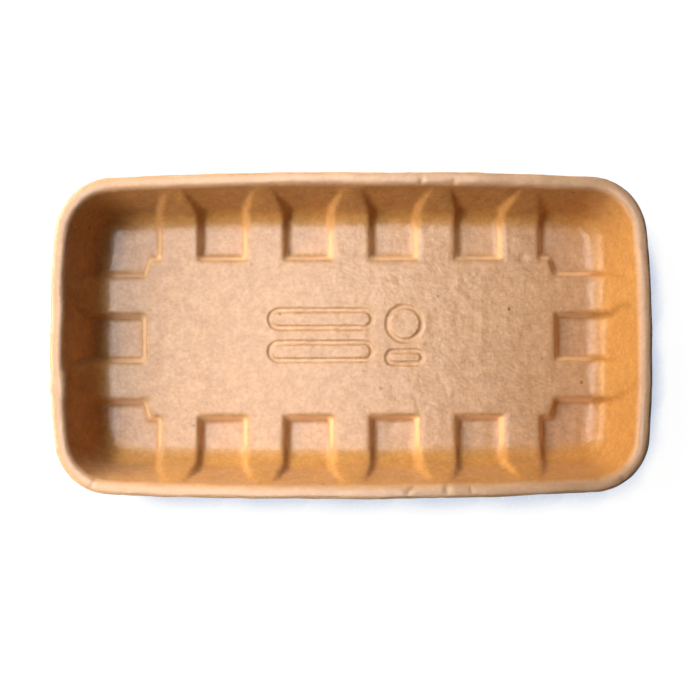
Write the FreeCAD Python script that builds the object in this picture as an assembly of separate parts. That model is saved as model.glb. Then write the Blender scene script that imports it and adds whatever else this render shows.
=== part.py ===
import FreeCAD, Part
import math
import os

# A moulded-pulp produce tray: one even skin of fibre, pressed to shape in one go.
# Millimetres, +Z up. The origin is under the middle of the tray, on the plane it rests on.
# X runs along the long way, Y across.

# ---- overall -------------------------------------------------------------
tray_length = 240.0       # outside, over the middle of the short sides
tray_width = 131.2        # outside, over the middle of the long sides
tray_height = 30.0        # from the ground to the crest of the rim
skin = 2.0                # thickness of the pulp
corner_radius = 23.0      # outer corners, seen from above
long_side_bow = 2.3       # how far a long side bulges out between its corners
short_side_bow = 1.6      # the same for a short side

# ---- wall and rim --------------------------------------------------------
wall_draft = 16.0         # degrees that the wall leans out from upright
floor_radius = 11.0       # where the floor turns up into the wall, inside
rim_band = 4.9            # from the outer edge to the inner wall, at the crest
rim_inner_radius = 2.8    # rounding from the crest down into the tray
rim_outer_radius = 1.6    # rounding from the crest out to the lip
lip_drop = 4.5            # from the crest down to the edge of the turned-down lip
lip_flare = 0.8           # how far the lip spreads out on its way down

# ---- platform, ribs and the recesses between them ------------------------
step_height = 4.0         # from the recess floors up to the platform
flank_angle = 60.0        # degrees from level, of the steps round the platform
platform_end_inset = 34.4   # from the tray's outer edge in to the platform's top edge
platform_side_inset = 33.25
corner_cut_x = 2.2        # the platform's corners are cut back slantwise
corner_cut_y = 6.8
edge_rounding = 1.5       # along the top edges of the platform and the ribs
rib_pitch = 35.9          # along each long side, with as many ribs as fit
rib_foot_width = 14.8     # a long-side rib where it leaves the platform
rib_head_width = 6.2      # the same rib where it dies out under the rim
end_rib_pitch = 35.75     # along each short side
end_rib_foot_width = 14.9
end_rib_head_width = 5.8
rib_turn_radius = 9.0     # where a rib turns up in front of the wall
rib_proud = 3.5           # how far a rib stands in front of the wall, at its foot
rib_fade = 2.0            # from the crest down to where a rib dies out in the wall
rib_head_angle = 35.0     # degrees from level, of a rib's flanks where it dies out

# ---- blank round-ended outlines pressed into the platform ----------------
# Each is (middle x, middle y, length, width).
blank_fields = [
    (-12.7, 7.8, 44.0, 8.6),
    (-12.7, -5.8, 44.0, 8.6),
    (22.3, 5.8, 15.6, 15.6),
    (22.3, -8.4, 16.0, 6.4),
]
field_line = 1.2
field_depth = 0.45

# ---- worked out from the sizes above -------------------------------------
half_length = tray_length / 2
half_width = tray_width / 2
platform_length = tray_length - 2 * platform_end_inset
platform_width = tray_width - 2 * platform_side_inset
recess_z = skin
platform_z = skin + step_height
spare = 1.0               # how far a cutting solid runs past what it cuts
least_flat = 0.2          # the narrowest flat left between two roundings
least_rounding = 0.3
lip_gap = 0.4             # the hollows behind the ribs end this far under the lip's edge
lean = math.tan(math.radians(wall_draft))
rib_lean = lean + rib_proud / (tray_height - rib_fade - platform_z)
rib_draft = math.degrees(math.atan(rib_lean))
flank_run = 1 / math.tan(math.radians(flank_angle))
head_run = 1 / math.tan(math.radians(rib_head_angle))
vector = FreeCAD.Vector


def bow_radius(half_chord, bow):
    return (half_chord**2 + bow**2) / (2 * bow)


long_radius = bow_radius(half_length - corner_radius, long_side_bow)
short_radius = bow_radius(half_width - corner_radius, short_side_bow)


def corner_centre():
    """Centre of the corner arc that runs smoothly into both bowed sides."""
    long_reach = long_radius - corner_radius
    short_reach = short_radius - corner_radius
    start = vector(0, half_width - long_radius, 0)
    end = vector(half_length - short_radius, 0, 0)
    gap = (end - start).Length
    along = (long_reach**2 - short_reach**2 + gap**2) / (2 * gap)
    aside = math.sqrt(long_reach**2 - along**2)
    way = (end - start).normalize()
    outward = vector(way.y, -way.x, 0)
    return start + way * along + outward * aside


corner = corner_centre()
long_turn = math.degrees(math.atan2(corner.x, corner.y - half_width + long_radius))
short_turn = math.degrees(math.atan2(corner.y, corner.x - half_length + short_radius))
corner_turn = 90 - long_turn - short_turn


def outline_arcs():
    """The tray's outline as (centre, radius, start angle, turn), anticlockwise.
    Each side is two arcs that meet in its middle."""
    right = vector(half_length - short_radius, 0, 0)
    back = vector(0, half_width - long_radius, 0)
    arcs = []
    for half in (0, 1):
        turn = 180 * half
        sign = 1 - 2 * half
        near = vector(sign * corner.x, sign * corner.y, 0)
        far = vector(-sign * corner.x, sign * corner.y, 0)
        arcs.append((right * sign, short_radius, turn, short_turn))
        arcs.append((near, corner_radius, turn + short_turn, corner_turn))
        arcs.append((back * sign, long_radius, turn + 90 - long_turn, long_turn))
        arcs.append((back * sign, long_radius, turn + 90, long_turn))
        arcs.append((far, corner_radius, turn + 90 + long_turn, corner_turn))
        arcs.append((right * -sign, short_radius, turn + 180 - short_turn, short_turn))
    return arcs


def on_arc(centre, radius, degrees, z=0.0):
    angle = math.radians(degrees)
    return centre + vector(radius * math.cos(angle), radius * math.sin(angle), z)


def line(start, end):
    return Part.LineSegment(start, end).toShape()


def arc(start, middle, end):
    return Part.Arc(start, middle, end).toShape()


# ---- sections, in (distance in from the outer edge, height) --------------
def corner_reach(radius, degrees):
    """Distance from a sharp corner to where its rounding begins."""
    return radius * math.tan(math.radians(degrees / 2))


def wall_inset(z):
    """Distance in from the outer edge, at height z, of the wall between the ribs."""
    return rim_band + (tray_height - z) * lean


def rib_inset(z):
    """The same for the front of a rib, which meets the wall where it fades out."""
    fade_z = tray_height - rib_fade
    return wall_inset(fade_z) + (fade_z - z) * rib_lean


foot = wall_inset(recess_z)
# The floor's turn has to fit inside the tray's own corner.
room = (corner_radius - spare - foot) / corner_reach(1.0, 90 - wall_draft)
inner_turn = min(floor_radius, room)
turn_start = foot + corner_reach(inner_turn, 90 - wall_draft)
core_inset = turn_start + least_flat


def turn_point(degrees, radius):
    """A point on the turn from floor to wall: 0 is on the floor."""
    angle = math.radians(degrees)
    centre_z = recess_z + inner_turn
    return turn_start - radius * math.sin(angle), centre_z - radius * math.cos(angle)


def ring_sector(steps, centre, radius, start, turn):
    """A section swept round one arc of the outline. The section's steps are points,
    or pairs of points where it arrives at the second by an arc through the first."""
    def place(point):
        return on_arc(centre, radius - point[0], start, point[1])

    edges = []
    last = steps[0]
    for step in steps[1:] + steps[:1]:
        if isinstance(step[0], tuple):
            middle, end = step
            edges.append(arc(place(last), place(middle), place(end)))
            last = end
        else:
            edges.append(line(place(last), place(step)))
            last = step
    face = Part.Face(Part.Wire(edges))
    return face.revolve(centre, vector(0, 0, 1), turn)


def inset_face(inset, z):
    """The tray's outline, moved in by `inset`, as a flat face at height z."""
    edges = []
    for centre, radius, start, turn in outline_arcs():
        ends = [on_arc(centre, radius - inset, start + turn * part, z) for part in (0, 0.5, 1)]
        edges.append(arc(*ends))
    return Part.Face(Part.Wire(edges))


def swept_round(steps, low, high):
    """A section swept round the whole outline, with its middle filled in."""
    solids = [ring_sector(steps, *place) for place in outline_arcs()]
    middle = inset_face(core_inset, low).extrude(vector(0, 0, high - low))
    return middle.fuse(solids).removeSplitter()


def rounded_corner(corner_point, way_in, way_out, radius, degrees):
    """Start, middle and end of a rounding at a corner; ways are unit directions."""
    reach = corner_reach(radius, degrees)
    start = tuple(c - reach * w for c, w in zip(corner_point, way_in))
    end = tuple(c + reach * w for c, w in zip(corner_point, way_out))
    bisector = tuple(b - a for a, b in zip(way_in, way_out))
    size = math.hypot(*bisector)
    half = math.radians(degrees / 2)
    middle_reach = radius / math.cos(half) - radius
    middle = tuple(c + middle_reach * b / size for c, b in zip(corner_point, bisector))
    return start, middle, end


up_wall = (-math.sin(math.radians(wall_draft)), math.cos(math.radians(wall_draft)))


def filled_tray():
    """The tray filled to the crest, bounded by its outside and underside."""
    outer_turn = inner_turn + skin
    half_angle = (90 - wall_draft) / 2
    flange_z = tray_height - skin
    skin_across = skin / math.cos(math.radians(wall_draft))
    wall_top = wall_inset(flange_z) - skin_across
    lip_z = tray_height - lip_drop
    bead = skin / 2
    flare = lip_flare / (lip_drop - bead)
    lip_angle = 90 - math.degrees(math.atan(flare))
    size = math.hypot(flare, 1.0)
    up_lip = (flare / size, 1.0 / size)
    crest = (lip_flare, tray_height)
    crest_arc = rounded_corner(crest, up_lip, (1.0, 0.0), rim_outer_radius, lip_angle)
    across_lip = skin * size
    under = (across_lip + flare * (flange_z - lip_z - bead), flange_z)
    under_arc = rounded_corner(under, (-1.0, 0.0), (-up_lip[0], -up_lip[1]), least_rounding, lip_angle)
    steps = [
        (core_inset, 0.0),
        (turn_start, 0.0),
        (turn_point(half_angle, outer_turn), turn_point(2 * half_angle, outer_turn)),
        (wall_top, flange_z),
        under_arc[0],
        under_arc[1:],
        (across_lip, lip_z + bead),
        ((across_lip / 2, lip_z), (0.0, lip_z + bead)),
        crest_arc[0],
        crest_arc[1:],
        (core_inset, tray_height),
    ]
    return swept_round(steps, 0.0, tray_height)


def hollow():
    """The space inside the wall, down to the recess floors."""
    half_angle = (90 - wall_draft) / 2
    crest = (rim_band, tray_height)
    start, middle, end = rounded_corner(
        crest, up_wall, (-1.0, 0.0), rim_inner_radius, 90 - wall_draft
    )
    steps = [
        (core_inset, recess_z),
        (turn_start, recess_z),
        (turn_point(half_angle, inner_turn), turn_point(2 * half_angle, inner_turn)),
        start,
        (middle, end),
        (end[0], tray_height + spare),
        (core_inset, tray_height + spare),
    ]
    return swept_round(steps, recess_z, tray_height + spare)


# ---- platform and ribs ---------------------------------------------------
# They are made twice: as the eye sees them from above, and again a skin's
# thickness inside that, which is the hollow that the mould leaves underneath.
def platform_outline(grow, z):
    x = platform_length / 2 + grow
    y = platform_width / 2 + grow
    slant = math.hypot(corner_cut_x, corner_cut_y)
    cut_x = corner_cut_x + grow * (corner_cut_x + corner_cut_y - slant) / corner_cut_y
    cut_y = corner_cut_y + grow * (corner_cut_x + corner_cut_y - slant) / corner_cut_x
    corners = [(x, y - cut_y), (x - cut_x, y)]
    corners += [(-px, py) for px, py in reversed(corners)]
    corners += [(-px, -py) for px, py in corners]
    points = [vector(px, py, z) for px, py in corners]
    return Part.makePolygon(points + points[:1])


def rib_section(half_top, run, inset, rounding, place):
    """Wire of a rib's section: a flat top with rounded edges and slanted flanks, each of
    which runs out by `run` for every millimetre down. `inset` moves it into the skin."""
    depth = step_height + spare
    slope = math.hypot(run, 1.0)
    half_top -= inset * (slope - run)
    half_base = half_top + depth * run
    down = (run / slope, 1.0 / slope)
    angle = math.degrees(math.atan2(1.0, run))
    start, middle, end = rounded_corner((half_top, 0.0), (1.0, 0.0), down, rounding, angle)
    right = [place(*point) for point in (start, middle, end, (half_base, depth))]
    left = [place(-x, d) for x, d in (start, middle, end, (half_base, depth))]
    return Part.Wire(
        [
            line(left[0], right[0]),
            arc(*right[:3]),
            line(right[2], right[3]),
            line(right[3], left[3]),
            line(left[3], left[2]),
            arc(left[2], left[1], left[0]),
        ]
    )


def rib(foot_width, head_width, edge, inset, head_z):
    """One rib that runs out along +Y from the middle and up a wall whose outer edge
    is at y = edge. `inset` moves every face into the skin."""
    rounding = max(edge_rounding - inset, least_rounding)
    turn_radius = rib_turn_radius + inset
    swing = 90 - rib_draft
    start_y = edge - rib_inset(platform_z) - corner_reach(rib_turn_radius, swing)
    centre_z = platform_z + rib_turn_radius

    def across(y, z, degrees):
        angle = math.radians(degrees)
        out_y = math.sin(angle)
        out_z = -math.cos(angle)
        return lambda x, deep: vector(x, y + deep * out_y, z + deep * out_z)

    def turn_place(degrees):
        angle = math.radians(degrees)
        y = start_y + turn_radius * math.sin(angle)
        z = centre_z - turn_radius * math.cos(angle)
        return across(y, z, degrees)

    def section(width, run, place):
        return rib_section(width / 2, run, inset, rounding, place)

    inner_end = section(foot_width, flank_run, across(0.0, platform_z - inset, 0))
    flat = Part.Face(inner_end).extrude(vector(0, start_y, 0))
    bend_steps = 4
    bend = [
        section(foot_width, flank_run, turn_place(swing * step / bend_steps))
        for step in range(bend_steps + 1)
    ]
    turned = Part.makeLoft(bend, True, False)
    wall_y = start_y + turn_radius * math.sin(math.radians(swing))
    wall_z = centre_z - turn_radius * math.cos(math.radians(swing))
    share = (head_z - wall_z) / (tray_height - rib_fade - wall_z)
    head = section(
        foot_width + share * (head_width - foot_width),
        flank_run + share * (head_run - flank_run),
        across(wall_y + (head_z - wall_z) * rib_lean, head_z, swing),
    )
    straight = Part.makeLoft([bend[-1], head], True, True)
    return flat.fuse([turned, straight])


def places_along(room, width, pitch):
    """Middles of as many ribs as fit into `room`, evenly about its own middle."""
    count = int((room - width) // pitch) + 1
    return [(number - (count - 1) / 2) * pitch for number in range(count)]


def raised_shape(inset, head_z):
    """Platform and all its ribs, with every face moved `inset` into the skin."""
    low = recess_z - inset - spare
    high = platform_z - inset
    shrink = inset * math.hypot(flank_run, 1.0)
    top = platform_outline(inset * flank_run - shrink, high)
    base = platform_outline((platform_z - low) * flank_run - shrink, low)
    platform = Part.makeLoft([base, top], True, True)
    upper = [e for e in platform.Edges if min(v.Z for v in e.Vertexes) > high - 1e-6]
    platform = platform.makeFillet(max(edge_rounding - inset, least_rounding), upper)
    ribs = []
    for x in places_along(platform_length - 2 * corner_cut_x, rib_foot_width, rib_pitch):
        sag = long_radius - math.sqrt(long_radius**2 - x**2)
        one = rib(rib_foot_width, rib_head_width, half_width - sag, inset, head_z)
        one.translate(vector(x, 0, 0))
        other = one.copy()
        other.rotate(vector(0, 0, 0), vector(0, 0, 1), 180)
        ribs += [one, other]
    end_room = platform_width - 2 * corner_cut_y
    for y in places_along(end_room, end_rib_foot_width, end_rib_pitch):
        sag = short_radius - math.sqrt(short_radius**2 - y**2)
        one = rib(end_rib_foot_width, end_rib_head_width, half_length - sag, inset, head_z)
        one.rotate(vector(0, 0, 0), vector(0, 0, 1), -90)
        one.translate(vector(0, y, 0))
        other = one.copy()
        other.rotate(vector(0, 0, 0), vector(0, 0, 1), 180)
        ribs += [one, other]
    return platform.fuse(ribs).removeSplitter()


def round_ended(x, y, length, width):
    """A round-ended block that reaches `field_depth` down into the platform."""
    height = field_depth + spare
    low = platform_z - field_depth
    ends = []
    for side in (-1, 1):
        place = vector(x + side * (length - width) / 2, y, low)
        ends.append(Part.makeCylinder(width / 2, height, place))
    if length <= width:
        return ends[0]
    corner_place = vector(x - (length - width) / 2, y - width / 2, low)
    block = Part.makeBox(length - width, width, height, corner_place)
    return block.fuse(ends).removeSplitter()


def pressed_outline(x, y, length, width):
    inner = round_ended(x, y, length - 2 * field_line, width - 2 * field_line)
    return round_ended(x, y, length, width).cut(inner)


def tray():
    above = raised_shape(0.0, tray_height - rib_fade / 2)
    below = raised_shape(skin, tray_height - lip_drop - lip_gap)
    shell = filled_tray().cut(hollow().cut(above)).cut(below)
    marked = shell.cut([pressed_outline(*field) for field in blank_fields])
    return marked.removeSplitter()


os.makedirs("parts", exist_ok=True)
shape = tray()
print("solids", len(shape.Solids), "valid", shape.isValid(), "volume", round(shape.Volume))
shape.Solids[0].exportStep("parts/tray.step")
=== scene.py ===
# %% [markdown]
# # A moulded-pulp produce tray
# The real tray is paper fibre and water, sucked onto a wire-mesh mould and dried.
# One even skin of fibre makes everything: floor, ribs, wall and turned rim.
# The CAD model already holds that shape at its real size, so this script starts by
# loading it as a fixed frame. The rest works on that shape or stands around it.

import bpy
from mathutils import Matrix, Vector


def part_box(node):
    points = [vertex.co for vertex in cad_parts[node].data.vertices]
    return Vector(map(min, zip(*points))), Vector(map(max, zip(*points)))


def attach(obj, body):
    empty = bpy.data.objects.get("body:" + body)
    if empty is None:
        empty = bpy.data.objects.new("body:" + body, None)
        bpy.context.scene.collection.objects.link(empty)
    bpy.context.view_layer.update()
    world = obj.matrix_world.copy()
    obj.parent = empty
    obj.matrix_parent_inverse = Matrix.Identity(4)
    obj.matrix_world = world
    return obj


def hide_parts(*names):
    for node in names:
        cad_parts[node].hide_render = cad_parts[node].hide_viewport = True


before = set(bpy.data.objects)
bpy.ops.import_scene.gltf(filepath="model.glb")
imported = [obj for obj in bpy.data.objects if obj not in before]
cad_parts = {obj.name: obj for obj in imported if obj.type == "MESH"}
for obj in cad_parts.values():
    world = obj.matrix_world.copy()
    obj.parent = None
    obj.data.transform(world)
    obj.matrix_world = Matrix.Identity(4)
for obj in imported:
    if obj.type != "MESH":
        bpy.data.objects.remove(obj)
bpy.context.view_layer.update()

# %% Modules and the unit that sizes are written in
import math

import bmesh
import bpy
import numpy as np
from mathutils import Vector, noise
from mathutils.bvhtree import BVHTree

mm = 0.001
low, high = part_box("tray")
tray_size = high - low
print("tray", [round(side / mm, 1) for side in tray_size], "mm")

# %% [markdown]
# ## Camera
# The tray is seen from straight above with a long lens, which keeps its sides nearly
# parallel. A camera that is turned by a degree or two shows a little more of one wall
# than of the other, as a hand-set tripod does, so the small turns are kept.

# %% Camera
camera_lens = 65.3
camera_place = Vector((-7.6, -26.7, 536.7)) * mm
camera_turn = (2.32, -0.74, -0.26)

camera_data = bpy.data.cameras.new("camera")
camera_data.lens = camera_lens
camera_data.sensor_width = 36.0
camera = bpy.data.objects.new("camera", camera_data)
camera.location = camera_place
camera.rotation_euler = [math.radians(angle) for angle in camera_turn]
bpy.context.scene.collection.objects.link(camera)
bpy.context.scene.camera = camera
bpy.context.scene.view_settings.view_transform = "Standard"
print("camera", round(camera_place.length / mm), "mm from the origin")


# %% [markdown]
# ## Colours
# Colours are easiest to pick as sRGB hex values, but Blender's shaders and lamps work in
# linear light. One function turns the first into the second.

# %% Hex to linear
def linear(hex_colour):
    """An sRGB hex value such as "C8955F" as linear red, green, blue and alpha."""
    shares = [int(hex_colour[at:at + 2], 16) / 255 for at in (0, 2, 4)]
    lit = [s / 12.92 if s <= 0.04045 else ((s + 0.055) / 1.055) ** 2.4 for s in shares]
    return (*lit, 1.0)


print("mid grey is", round(linear("808080")[0], 3), "in linear light")


# %% [markdown]
# ## Lamps
# A window-sized lamp would wash out the ribs. What draws them is one lamp, halfway up on the
# left and a little behind, so each rib has a bright flank and a dark one and the left wall
# throws a shadow onto the floor. It is a long strip with a honeycomb grid in front, which
# keeps its beam narrow, so the light fades towards the far end of the tray. A narrow beam
# makes the same watts brighter, so the strip needs few. Four warm soft boxes, low on the
# same side, fill the shadows as a pale table would.
# Pulp also has a pale sheen on the left and in the middle. Two panels give only that: they
# are left out of the matt light, or they would flatten the shadows.
# Aiming a lamp by hand is fiddly, so a function places it by its compass angle and height
# around the point it lights.

# %% Soft boxes
def soft_box(name, aim, compass, height, distance, size, watts, colour="FFFFFF", beam=180):
    """A `size` lamp, `distance` from `aim`, at two angles in degrees; lengths in mm."""
    data = bpy.data.lights.new(name, "AREA")
    data.shape = "RECTANGLE"
    data.size = size[0] * mm
    data.size_y = size[1] * mm
    data.energy = watts
    data.color = linear(colour)[:3]
    data.spread = math.radians(beam)
    level = math.cos(math.radians(height))
    way = Vector((
        level * math.cos(math.radians(compass)),
        level * math.sin(math.radians(compass)),
        math.sin(math.radians(height)),
    ))
    lamp = bpy.data.objects.new(name, data)
    lamp.location = (Vector(aim) + way * distance) * mm
    lamp.rotation_euler = (-way).to_track_quat("-Z", "Y").to_euler()
    bpy.context.scene.collection.objects.link(lamp)
    print(name, [round(place / mm) for place in lamp.location], "mm")
    return lamp


away = 570
left_of_middle = (-30, 0, 6)
cool_white = "E2ECFF"

soft_box(
    "key_strip", left_of_middle, compass=156, height=56, distance=away,
    size=(640, 200), watts=0.54, colour=cool_white, beam=30,
)

# %% Fill lamps
tray_middle = (0, 0, 6)
fill_size = (300, 300)
warm_white = "FFEBC0"

for name, compass, height, watts in (
    ("front_fill", 200, 25, 1.30),
    ("low_fill", 156, 18, 1.55),
    ("high_fill", 156, 28, 0.85),
    ("back_fill", 130, 18, 0.90),
):
    soft_box(name, tray_middle, compass, height, away, fill_size, watts, warm_white)

# %% Sheen panels
sheen_white = "F6F8FF"

for name, aim, compass, height, size, watts in (
    ("sheen_above", (-53, 0, 6), 90, 89.9, (250, 500), 7.4),
    ("sheen_left", tray_middle, 172, 24, (400, 250), 3.5),
):
    panel = soft_box(name, aim, compass, height, away, size, watts, sheen_white)
    panel.visible_diffuse = False

# %% [markdown]
# ## Sky and floor
# The surroundings are plain white. The sky shows as white to the camera through Light Path
# and only dimly lights the tray. The floor is white paper that the camera also sees lit
# evenly, with a small share that is left to the lamps, so the tray's shadow shows on it.
# Node trees are quick to draw by hand but long to write, so one function adds a node.

# %% A function that adds a node
def add_node(tree, kind, inputs=None, **settings):
    """Adds a node, sets its properties, and fills or links its inputs by name or number."""
    made = tree.nodes.new(kind)
    for name, value in settings.items():
        setattr(made, name, value)
    for name, value in (inputs or {}).items():
        if isinstance(value, bpy.types.NodeSocket):
            tree.links.new(value, made.inputs[name])
        else:
            made.inputs[name].default_value = value
    return made


print("made", add_node.__name__)

# %% Sky
sky_level = 0.006
sky_blue = "E4ECFF"
sky_white = "FFFFFF"

world = bpy.data.worlds.new("plain_sky")
world.use_nodes = True
tree = world.node_tree
tree.nodes.clear()
dim = add_node(tree, "ShaderNodeBackground", {"Color": linear(sky_blue), "Strength": sky_level})
white = add_node(tree, "ShaderNodeBackground", {"Color": linear(sky_white), "Strength": 1.0})
camera_only = add_node(tree, "ShaderNodeLightPath").outputs["Is Camera Ray"]
mixed = add_node(
    tree, "ShaderNodeMixShader", {0: camera_only, 1: dim.outputs[0], 2: white.outputs[0]}
)
add_node(tree, "ShaderNodeOutputWorld", {"Surface": mixed.outputs[0]})
bpy.context.scene.world = world
print("sky lights the tray at", sky_level)

# %% Floor
floor_radius = 3.0

form = bmesh.new()
bmesh.ops.create_circle(form, cap_ends=True, segments=64, radius=floor_radius)
floor_mesh = bpy.data.meshes.new("floor")
form.to_mesh(floor_mesh)
form.free()
floor = bpy.data.objects.new("floor", floor_mesh)
bpy.context.scene.collection.objects.link(floor)
print("floor", floor_radius * 2, "m across")

# %% [markdown]
# On a table this bright, only the darkest part of a shadow shows: a narrow band beside the
# tray, on the side away from the lamps. That band is a painted shadow, a little blue, in the
# floor's glow. Ambient occlusion measures how much of the tray is near a point, here only
# towards the lamps, and sets where the shadow is painted.

# %% Painted shadow: a little blue beside the tray
towards_lamps = (-0.80, 0.42, 0.42)
shadow_reach = 30 * mm
shaded_below = 0.64
clear_above = 0.73
painted_shadow_blue = "BDC8DC"

floor_paint = bpy.data.materials.new("matt_white_paper")
floor_paint.use_nodes = True
tree = floor_paint.node_tree
tree.nodes.clear()
lampwards = add_node(tree, "ShaderNodeCombineXYZ", dict(enumerate(towards_lamps)))
openness = add_node(
    tree, "ShaderNodeAmbientOcclusion",
    {"Distance": shadow_reach, "Normal": lampwards.outputs[0]}, samples=16,
).outputs["AO"]
cleared = add_node(
    tree, "ShaderNodeMapRange",
    {"Value": openness, "From Min": shaded_below, "From Max": clear_above},
).outputs["Result"]
# painted shadow: the floor's glow turns blue where the tray is near, towards the lamps
painted_shadow_glow = add_node(
    tree, "ShaderNodeMix", {0: cleared, 6: linear(painted_shadow_blue), 7: linear("FFFFFF")},
    data_type="RGBA",
).outputs[2]
print("the blue reaches no further than", round(shadow_reach / mm), "mm")

# %% White paper for the floor
floor_glow = 0.985
lamplit_share = "5A5A5A"
paper_white = "E6E6E6"

glow = add_node(tree, "ShaderNodeEmission", {"Color": painted_shadow_glow, "Strength": floor_glow})
shade = add_node(tree, "ShaderNodeBsdfDiffuse", {"Color": linear(lamplit_share)})
shown = add_node(tree, "ShaderNodeAddShader", {0: glow.outputs[0], 1: shade.outputs[0]})
paper = add_node(tree, "ShaderNodeBsdfDiffuse", {"Color": linear(paper_white)})
camera_only = add_node(tree, "ShaderNodeLightPath").outputs["Is Camera Ray"]
mixed = add_node(
    tree, "ShaderNodeMixShader", {0: camera_only, 1: paper.outputs[0], 2: shown.outputs[0]}
)
add_node(tree, "ShaderNodeOutputMaterial", {"Surface": mixed.outputs[0]})
floor.data.materials.append(floor_paint)
print("floor shines at", floor_glow)

# %% [markdown]
# ## The tray's skin
# The CAD mesh has knife-sharp inner corners, which real pulp never has. It could be bevelled
# edge by edge, but the ribs fade into the wall, and bevels break there. Felted fibre rounds
# everything at once, so the shape is remeshed into small even squares and then relaxed,
# which rounds each corner as the fibre does.
# The CAD mesh itself stays as it is: this works on a copy whose loose triangles are merged.

# %% Copy the CAD mesh and merge it
merge_reach = 0.001 * mm

form = bmesh.new()
form.from_mesh(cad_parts["tray"].data)
bmesh.ops.remove_doubles(form, verts=form.verts, dist=merge_reach)
open_edges = [edge for edge in form.edges if not edge.is_manifold]
print("merged to", len(form.verts), "points with", len(open_edges), "open edges")

# %% [markdown]
# The platform carries a few blank, round-ended outlines that the mould presses in. Their
# lines are about as narrow as one of the new squares, so a remesh would leave them ragged.
# Their floors are found in the CAD mesh as level faces a little under the platform, kept
# aside for later, and lifted flush for now.

# %% Find the pressed lines and lift them flush
platform_z = 6.0 * mm
line_depth = 0.45 * mm
near = 0.02 * mm
very_level = 0.99

line_z = platform_z - line_depth
line_faces = [
    face for face in form.faces
    if face.normal.z > very_level and abs(face.calc_center_median().z - line_z) < near
]
line_points = {vert: vert.co.copy() for face in line_faces for vert in face.verts}
order = {vert: number for number, vert in enumerate(line_points)}
pressed_lines = BVHTree.FromPolygons(
    [line_points[vert] for vert in order],
    [[order[vert] for vert in face.verts] for face in line_faces],
)
for vert in line_points:
    vert.co.z = platform_z
lines_low = Vector([min(co[axis] for co in line_points.values()) for axis in range(3)])
lines_high = Vector([max(co[axis] for co in line_points.values()) for axis in range(3)])
print("pressed lines:", len(line_faces), "faces from", lines_low[:2], "to", lines_high[:2])


# %% Remesh into even squares
def finish_modifiers(thing):
    """Makes the shape that the modifiers give into the object's own mesh."""
    bpy.context.view_layer.update()
    evaluated = thing.evaluated_get(bpy.context.evaluated_depsgraph_get())
    thing.data = bpy.data.meshes.new_from_object(evaluated)
    thing.modifiers.clear()


square = 0.92 * mm

tray_mesh = bpy.data.meshes.new("pulp_tray")
form.to_mesh(tray_mesh)
form.free()
tray = bpy.data.objects.new("pulp_tray", tray_mesh)
bpy.context.scene.collection.objects.link(tray)
remesh = tray.modifiers.new("remesh", "REMESH")
remesh.mode = "VOXEL"
remesh.voxel_size = square
finish_modifiers(tray)
print("remeshed to", len(tray.data.polygons), "squares")

# %% [markdown]
# Plain smoothing would shrink the thin rim. Each round here pulls every point towards its
# neighbours and then pushes it a little further back, which evens out the small squares and
# leaves the larger shape its size.

# %% Relax the corners
relax_rounds = 4
pull = 0.5
push_back = -0.53

form = bmesh.new()
form.from_mesh(tray.data)
for _ in range(relax_rounds):
    for factor in (pull, push_back):
        bmesh.ops.smooth_vert(
            form, verts=form.verts, factor=factor,
            use_axis_x=True, use_axis_y=True, use_axis_z=True,
        )
form.to_mesh(tray.data)
heights = [vert.co.z for vert in form.verts]
form.free()
print("relaxed; from", round(min(heights) / mm, 2), "to", round(max(heights) / mm, 2), "mm high")

# %% [markdown]
# The underside is smoother than the face that shows, and it can do with fewer squares. That
# leaves more of them for the top, where the pressed lines and the small dents are.

# %% Thin out the underside
underside_tilt = -0.15
kept_share = 0.66

normals = np.empty(len(tray.data.vertices) * 3)
tray.data.vertices.foreach_get("normal", normals)
facing_down = np.flatnonzero(normals.reshape(-1, 3)[:, 2] < underside_tilt)
underside = tray.vertex_groups.new(name="underside")
underside.add([int(number) for number in facing_down], 1.0, "REPLACE")
thinner = tray.modifiers.new("thinner", "DECIMATE")
thinner.ratio = kept_share
thinner.vertex_group = "underside"
finish_modifiers(tray)
tray.vertex_groups.clear()
print("thinned to", len(tray.data.polygons), "faces")

# %% [markdown]
# A pressed line is only about one square wide, so the squares around the lines are cut in
# four first. Then each point near a line goes down by the line's depth, less towards its
# edge, which gives the soft groove that a mould leaves in wet fibre.

# %% Finer squares where the lines will be pressed
margin = 1.5 * mm
patch_slack = 0.5 * mm
nearly_level = 0.9

form = bmesh.new()
form.from_mesh(tray.data)
patch = [
    face for face in form.faces
    if face.normal.z > nearly_level
    and abs(face.calc_center_median().z - platform_z) < patch_slack
    and lines_low.x - margin < face.calc_center_median().x < lines_high.x + margin
    and lines_low.y - margin < face.calc_center_median().y < lines_high.y + margin
]
patch_edges = list({edge for face in patch for edge in face.edges})
bmesh.ops.subdivide_edges(form, edges=patch_edges, cuts=1, use_grid_fill=True)
print("patch of", len(patch), "faces made finer, now", len(form.faces), "in all")

# %% Press the lines
line_edge = 0.7 * mm
press_slack = 0.3 * mm

pressed = 0
for vert in form.verts:
    if abs(vert.co.z - platform_z) > press_slack or vert.normal.z < nearly_level:
        continue
    found = pressed_lines.find_nearest(Vector((vert.co.x, vert.co.y, line_z)), line_edge)
    if found[0] is None:
        continue
    share = 1 - found[3] / line_edge
    vert.co.z -= line_depth * share * share * (3 - 2 * share)
    pressed += 1
form.to_mesh(tray.data)
form.free()
print("pressed", pressed, "points")


# %% [markdown]
# ## Drying and handling
# A dried tray is never true. It shrinks unevenly as it dries, so its rim wanders by a few
# tenths of a millimetre, and stacking leaves small creases and dents in it. All of these
# are made by moving the points that are there, some by smooth noise and some by name.

# %% Read and write all points at once
def read_rows(mesh, kind):
    """The mesh's points ("co") or their directions ("normal") as rows of three."""
    flat = np.empty(len(mesh.vertices) * 3)
    mesh.vertices.foreach_get(kind, flat)
    return flat.reshape(-1, 3)


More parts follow.
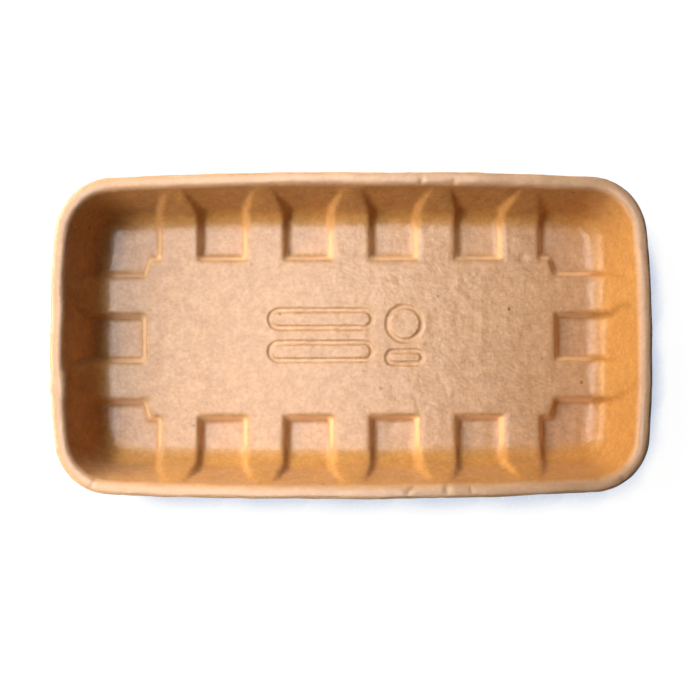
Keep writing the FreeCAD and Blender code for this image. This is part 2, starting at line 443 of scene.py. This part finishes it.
def noise_at(points, size, seed):
    """Smooth noise from -1 to 1 at each point, whose lumps are about `size` millimetres."""
    shift = Vector((seed, 2 * seed, 3 * seed))
    return np.array([noise.noise(Vector(point) / (size * mm) + shift) for point in points])


def ramp(values, start, end):
    """0 before `start`, 1 after `end`, and a smooth step between them."""
    share = np.clip((values - start) / (end - start), 0, 1)
    return share * share * (3 - 2 * share)


points = read_rows(tray.data, "co")
print(len(points), "points, up to", round(points[:, 2].max() / mm, 2), "mm high")

# %% Warp
slow_warp = 0.45 * mm
warp_size = 48
warp_seed = 11
rim_waves = 0.35 * mm
wave_size = 15
wave_seed = 31

height_share = points[:, 2] / high.z
for axis in range(3):
    slow = noise_at(points, warp_size, warp_seed + axis)
    points[:, axis] += slow_warp * slow * height_share
    quick = noise_at(points, wave_size, wave_seed + axis)
    points[:, axis] += rim_waves * quick * height_share ** 3
print("warped by up to", (slow_warp + rim_waves) / mm, "mm")

# %% [markdown]
# Shrinking also pulls one end of the platform in, with the last rib, and leaves the two end
# rims bowed outwards. Both could be cut into the CAD shape, but they belong to this one
# dried tray and not to its mould, so they are moves of the points too. Each has a share
# that fades to nothing at its sides, or the skin would show a step there.

# %% Pull the last rib and the far end of the platform in
end_pull = 0.5 * mm
pull_starts = (52 * mm, 62 * mm)
pull_stops = (92 * mm, 100 * mm)
pull_fades_up = (10 * mm, 20 * mm)

along = points[:, 0]
share = ramp(along, *pull_starts) * (1 - ramp(along, *pull_stops))
share *= 1 - ramp(points[:, 2], *pull_fades_up)
points[:, 0] -= end_pull * share
print("moved", int((share > 0).sum()), "points by up to", end_pull / mm, "mm")

# %% Bow the two end rims outwards
left_bow = 0.60 * mm
right_bow = 0.20 * mm
bow_up = (18 * mm, 28 * mm)
bow_across = (20 * mm, 58 * mm)
bow_along = (90 * mm, 112 * mm)

share = ramp(points[:, 2], *bow_up) * (1 - ramp(np.abs(points[:, 1]), *bow_across))
points[:, 0] -= left_bow * share * ramp(-points[:, 0], *bow_along)
points[:, 0] += right_bow * share * ramp(points[:, 0], *bow_along)
print("bowed by", left_bow / mm, "and", right_bow / mm, "mm")

# %% [markdown]
# Felted fibre is lumpy all over, in several sizes at once. Here each point moves along its
# own direction by the sum of three noises, each finer and lower than the last.

# %% Lumps
lump_heights = ((9, 0.12), (4.5, 0.10), (2.6, 0.06))
lump_seed = 21

tray.data.vertices.foreach_set("co", points.ravel())
tray.data.update()
normals = read_rows(tray.data, "normal")
lumps = sum(
    height * mm * noise_at(points, size, lump_seed + size) for size, height in lump_heights
)
points += normals * lumps[:, None]
print("lumps up to", round(float(np.abs(lumps).max()) / mm, 2), "mm high")


# %% [markdown]
# A crease is a short line that something hard left in the soft rim. A dent is the same with
# both of its ends in one place, and a lump is a dent the other way. One function makes all
# three: it moves the points near a line against the way that the surface faces there.

# %% Creases, dents and lumps
flat_share = 0.15
no_length = mm ** 3


def press(points, normals, start, end, reach, depth):
    """Presses in points within `reach` of a line, by `depth` at most; all in mm."""
    begin = np.array(start) * mm
    line = np.array(end) * mm - begin
    offset = points - begin
    share = np.clip(offset @ line / max(line @ line, no_length), 0, 1)
    distance = np.linalg.norm(offset - share[:, None] * line, axis=1)
    amount = 1 - ramp(distance, flat_share * reach * mm, reach * mm)
    points -= normals * (depth * mm * amount)[:, None]
    return int((amount > 0).sum())


marks = [
    ("crease", (-103.8, -59.9, 29.6), (-101.8, -56.0, 29.2), 1.3, 0.55),
    ("crease", (24.9, -60.4, 29.6), (21.6, -63.2, 29.8), 1.3, 0.6),
    ("crease", (37.6, -60.2, 29.6), (37.2, -62.4, 29.8), 1.3, 0.45),
    ("crease", (47.3, -60.0, 29.6), (47.2, -61.9, 29.8), 1.2, 0.5),
    ("crease", (27.8, 60.6, 29.5), (28.3, 62.4, 29.8), 1.3, 0.45),
    ("crease", (41.0, 60.0, 29.5), (41.4, 61.8, 29.8), 1.3, 0.45),
    ("crease", (107.6, -57.6, 29.4), (109.9, -60.4, 29.6), 1.4, 0.5),
    ("crease", (-5.0, 57.6, 21.5), (2.5, 58.0, 22.5), 0.9, 0.35),
    ("crease", (-3.0, 56.8, 18.5), (5.0, 57.0, 19.0), 0.9, 0.30),
    ("crease", (-6.0, 56.2, 16.0), (0.0, 56.4, 16.5), 0.9, 0.25),
    ("dent", (-5.9, 57.8, 22.0), (-5.9, 57.8, 22.0), 2.2, 0.6),
    ("dent", (30.0, 55.2, 12.0), (30.0, 55.2, 12.0), 2.2, 0.6),
    ("dent", (72.0, 33.0, 6.0), (72.5, 33.2, 6.0), 2.4, 0.5),
    ("lump", (-114.8, -17.0, 27.0), (-114.8, -23.0, 27.0), 4.5, -0.7),
    ("lump", (-119.4, -19.0, 28.0), (-119.4, -21.0, 28.0), 3.5, -0.3),
]

for name, start, end, reach, depth in marks:
    print(name, "at", start, "moved", press(points, normals, start, end, reach, depth), "points")

# %% [markdown]
# On the real tray the outer edge of the rim is crisper than its other corners. The relaxing
# rounded it like the rest. A second mesh with less relaxing could be blended in, but it is
# enough to push that corner's points back out: the ones that face half outwards and half up.

# %% Crisper outer edge of the rim
edge_push = 0.70 * mm
edge_from = 26 * mm
edge_to = 28 * mm

facing_out = (normals[:, :2] * points[:, :2]).sum(axis=1) > 0
tilt = np.clip(normals[:, 2], 0, 1)
share = 4 * tilt * (1 - tilt) * facing_out * ramp(points[:, 2], edge_from, edge_to)
points += normals * (edge_push * share)[:, None]
print("pushed", int((share > 0).sum()), "points out by up to", edge_push / mm, "mm")

# %% [markdown]
# The lumps moved a few points of the feet to below the table. They are held at its top, as
# the table would hold them, and the mesh gets all of its points back.

# %% Put the points back
points[:, 2] = np.maximum(points[:, 2], 0.0)
tray.data.vertices.foreach_set("co", points.ravel())
tray.data.update()
print("from", points.min(axis=0) / mm, "to", points.max(axis=0) / mm)

# %% [markdown]
# ## Moulded pulp
# The finish is unbleached paper fibre that was felted on a wire mesh and pressed while it
# dried. That leaves it matt with a faint waxy sheen, dimpled like orange peel, and mottled
# where the fibres lie thicker. An image of pulp would repeat and would need unwrapping.
# Noise on Object coordinates runs through the whole tray at its real size instead.

# %% Pattern scale
def per_metre(millimetres):
    """The scale of a pattern whose features are that many millimetres across."""
    return 1000 / millimetres


pulp = bpy.data.materials.new("moulded_paper_pulp")
pulp.use_nodes = True
tree = pulp.node_tree
tree.nodes.clear()
place = add_node(tree, "ShaderNodeTexCoord").outputs["Object"]
print("a 2 mm pattern has a scale of", per_metre(2))

# %% [markdown]
# Unbleached pulp is a warm brown, about halfway between the two below. The mottling runs a
# little way towards each of them: slow where the felt is thicker, and fine where single
# clumps of fibre show.

# %% Mottled brown
thick_brown = "9B6836"
thin_brown = "ECBA88"
clump_size = 4.5
fibre_size = 1.6
fine_share = 0.5

clumps = add_node(
    tree, "ShaderNodeTexNoise",
    {"Vector": place, "Scale": per_metre(clump_size), "Detail": 4.0, "Roughness": 0.6},
).outputs["Fac"]
fibres = add_node(
    tree, "ShaderNodeTexNoise",
    {"Vector": place, "Scale": per_metre(fibre_size), "Detail": 2.0, "Roughness": 0.6},
).outputs["Fac"]
clumped, fibred = [
    add_node(
        tree, "ShaderNodeMix", {0: pattern, 6: linear(thick_brown), 7: linear(thin_brown)},
        data_type="RGBA",
    ).outputs[2]
    for pattern in (clumps, fibres)
]
mottled = add_node(
    tree, "ShaderNodeMix", {0: fine_share, 6: clumped, 7: fibred}, data_type="RGBA"
).outputs[2]
print("mottled between", thick_brown, "and", thin_brown)

# %% [markdown]
# The walls and their foot are painted a little browner: painted shade, for the deeper and
# warmer shade that falls there. The small slopes between the low floor and the platform are
# painted paler and warmer: painted light, for the light they catch. The turned rim is painted
# paler too: a painted sheen, for the shine on its rounded top. These could be painted by hand,
# but the place of a point, and above all its height, tells well enough where it belongs.

# %% Shares that follow the shape
def share_past(distance, start, end, most=1.0):
    """A share that rises from 0 where `distance` is `start` to `most` at `end`, both in mm."""
    return add_node(
        tree, "ShaderNodeMapRange",
        {"Value": distance, "From Min": start * mm, "From Max": end * mm, "To Max": most},
        interpolation_type="SMOOTHSTEP",
    ).outputs["Result"]


def combine(operation, first, second):
    """The result of one sum on two numbers."""
    return add_node(
        tree, "ShaderNodeMath", {0: first, 1: second}, operation=operation
    ).outputs[0]


height = add_node(tree, "ShaderNodeSeparateXYZ", {0: place}).outputs["Z"]
print("shares come from", height.name)

# %% [markdown]
# The foot of the wall runs round the tray as a rectangle with round corners. The absolute
# value folds the four quarters of the tray into one. The corner's centre is taken off next,
# what is below nought becomes nought, and the height is multiplied away. The length of
# what is left says how far out of an inner rectangle a point is, and that is the same all
# along the foot, also round the corners.

# %% How far out a point is
corner_along = 84.5 * mm
corner_across = 30.0 * mm

outside = place
for operation, amount in (
    ("ABSOLUTE", (0, 0, 0)),
    ("SUBTRACT", (corner_along, corner_across, 0)),
    ("MAXIMUM", (0, 0, 0)),
    ("MULTIPLY", (1, 1, 0)),
):
    outside = add_node(
        tree, "ShaderNodeVectorMath", {0: outside, 1: amount}, operation=operation
    ).outputs[0]
how_far_out = add_node(
    tree, "ShaderNodeVectorMath", {0: outside}, operation="LENGTH"
).outputs["Value"]
print("measured out from", round(corner_along / mm, 1), "by", round(corner_across / mm, 1), "mm")

# %% [markdown]
# Multiplying by a pale yellow takes some blue away and hardly any red, which is how the
# painted shade makes a wall browner than the rest. The paler slopes, painted light, lie between
# two heights, so the share past the second is taken off the share past the first. The foot of
# the wall lies between those heights as well and is taken off too. A Mix node reads a share
# below 0 as 0. The underside of the platform lies between them too, and height alone can't
# tell it from the slopes, so it turns paler with them.

# %% Painted shade: browner walls and their foot
foot_starts = 13.0
foot_ends = 21.0
wall_starts = 6.3
wall_ends = 9.5
painted_shade_tint = "FFF2C0"

# painted shade: the walls and their foot are multiplied browner and darker
foot = share_past(how_far_out, foot_starts, foot_ends)
wall = combine("MAXIMUM", foot, share_past(height, wall_starts, wall_ends))
shade_browned = add_node(
    tree, "ShaderNodeMix", {0: wall, 6: mottled, 7: linear(painted_shade_tint)},
    data_type="RGBA", blend_type="MULTIPLY",
).outputs[2]
print("browner from", wall_starts, "mm up and from", foot_starts, "mm out")

# %% Painted light: paler slopes between low floor and platform
slope_starts = (2.4, 3.2)
slope_ends = (4.9, 5.7)
slope_share = 0.6
painted_light_pale = "FFD299"

# painted light: the small slopes are mixed paler and warmer, for the light they catch
above_start = share_past(height, *slope_starts, slope_share)
above_end = share_past(height, *slope_ends, slope_share)
slope = combine("SUBTRACT", combine("SUBTRACT", above_start, above_end), foot)
slopes_painted_lighter = add_node(
    tree, "ShaderNodeMix", {0: slope, 6: shade_browned, 7: linear(painted_light_pale)}, data_type="RGBA"
).outputs[2]
print("paler from", slope_starts[0], "to", slope_ends[1], "mm up")

# %% Painted sheen: paler rim
rim_starts = 26.5
rim_ends = 29.5
rim_sheen_share = 0.4
rim_sheen_pale = "E8BE9A"

# painted sheen: the rim is mixed paler, for the shine that its rounded top catches
rim_painted_sheen = add_node(
    tree, "ShaderNodeMix", {0: rim_sheen_share, 6: mottled, 7: linear(rim_sheen_pale)}, data_type="RGBA"
).outputs[2]
rimmed = add_node(
    tree, "ShaderNodeMix", {0: share_past(height, rim_starts, rim_ends), 6: slopes_painted_lighter, 7: rim_painted_sheen},
    data_type="RGBA",
).outputs[2]
print("paler from", rim_starts, "mm up")


# %% [markdown]
# Recycled pulp holds a few specks, some dark and some pale. Scattered dots of mesh would be
# far too many pieces. A Voronoi pattern gives every cell its own random colour, so a
# threshold on that colour picks a few cells, and a threshold on the distance from the
# cell's middle draws a speck there.

# %% Specks
def specks(size, share, width):
    """1 in specks whose radius is `width` of a cell, in `share` of the `size` mm cells."""
    cells = add_node(tree, "ShaderNodeTexVoronoi", {"Vector": place, "Scale": per_metre(size)})
    chosen = add_node(
        tree, "ShaderNodeSeparateColor", {0: cells.outputs["Color"]}
    ).outputs["Red"]
    kept = add_node(tree, "ShaderNodeMath", {0: chosen, 1: share}, operation="LESS_THAN")
    close = add_node(
        tree, "ShaderNodeMapRange",
        {"Value": cells.outputs["Distance"], "From Min": width, "From Max": 0.5 * width},
        interpolation_type="SMOOTHSTEP",
    )
    return add_node(
        tree, "ShaderNodeMath", {0: kept.outputs[0], 1: close.outputs["Result"]},
        operation="MULTIPLY",
    ).outputs[0]


speck_share = 0.06
bark_brown = "9E7148"
straw = "D4A67A"

dark_specks = specks(size=6.0, share=speck_share, width=0.17)
pale_specks = specks(size=4.0, share=speck_share, width=0.20)
darkened = add_node(
    tree, "ShaderNodeMix", {0: dark_specks, 6: rimmed, 7: linear(bark_brown)}, data_type="RGBA"
).outputs[2]
colour = add_node(
    tree, "ShaderNodeMix", {0: pale_specks, 6: darkened, 7: linear(straw)}, data_type="RGBA"
).outputs[2]
print("specks in", speck_share, "of the cells")

# %% [markdown]
# The dimples are too small to be worth points of their own. They are drawn as bumps in
# two sizes, over the larger lumps that are in the mesh. The wire mesh of the mould prints
# fine rows of dots as well: three stripe patterns, one along each way, add up to dots.
# The real wires are about half as far apart, which would be too fine to show. A wave
# texture turns by 20 radians in each unit, which its scale has to allow for.

# %% Dimples and mesh dots
peel_size = 3.0
peel_depth = 0.16 * mm
grit_size = 1.3
grit_depth = 0.08 * mm
wire_pitch = 1.0
wire_depth = 0.005 * mm
wave_turn = 20

wave_scale = per_metre(wire_pitch) * math.tau / wave_turn
peel, grit = [
    add_node(
        tree, "ShaderNodeTexNoise",
        {"Vector": place, "Scale": per_metre(size), "Detail": 1.0, "Roughness": 0.5},
    ).outputs["Fac"]
    for size in (peel_size, grit_size)
]
wires = [
    add_node(
        tree, "ShaderNodeTexWave", {"Vector": place, "Scale": wave_scale, "Distortion": 0.0},
        bands_direction=way,
    ).outputs["Fac"]
    for way in ("X", "Y", "Z")
]
dots = combine("ADD", combine("ADD", wires[0], wires[1]), wires[2])
dotted = add_node(tree, "ShaderNodeBump", {"Height": dots, "Distance": wire_depth}).outputs[0]
peeled = add_node(
    tree, "ShaderNodeBump", {"Height": peel, "Distance": peel_depth, "Normal": dotted}
).outputs[0]
dimpled = add_node(
    tree, "ShaderNodeBump", {"Height": grit, "Distance": grit_depth, "Normal": peeled}
).outputs[0]
print("dimples", peel_size, "and", grit_size, "mm across")

# %% [markdown]
# Solid fibre has an IOR of about 1.5. Air lies between the fibres of a felt, so it mirrors
# less than that, and a lower IOR says so. Pressing leaves it smooth enough for a soft, wide
# shine. Loose fibre ends stand up as a faint fuzz, which the shader calls sheen. All these
# numbers are the same all over, so they are set on the shader itself.

# %% Pulp surface
pulp_ior = 1.28
pulp_roughness = 0.33
fuzz = 0.20
fuzz_spread = 0.40

surface = add_node(
    tree, "ShaderNodeBsdfPrincipled",
    {
        "Base Color": colour, "Roughness": pulp_roughness, "IOR": pulp_ior, "Normal": dimpled,
        "Sheen Weight": fuzz, "Sheen Roughness": fuzz_spread,
    },
)
add_node(tree, "ShaderNodeOutputMaterial", {"Surface": surface.outputs[0]})
tray.data.materials.clear()
tray.data.materials.append(pulp)
for polygon in tray.data.polygons:
    polygon.use_smooth = True
print("material", pulp.name)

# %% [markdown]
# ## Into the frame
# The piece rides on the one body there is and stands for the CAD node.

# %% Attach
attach(tray, "root")
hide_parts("tray")
print("triangles", sum(len(polygon.vertices) - 2 for polygon in tray.data.polygons))
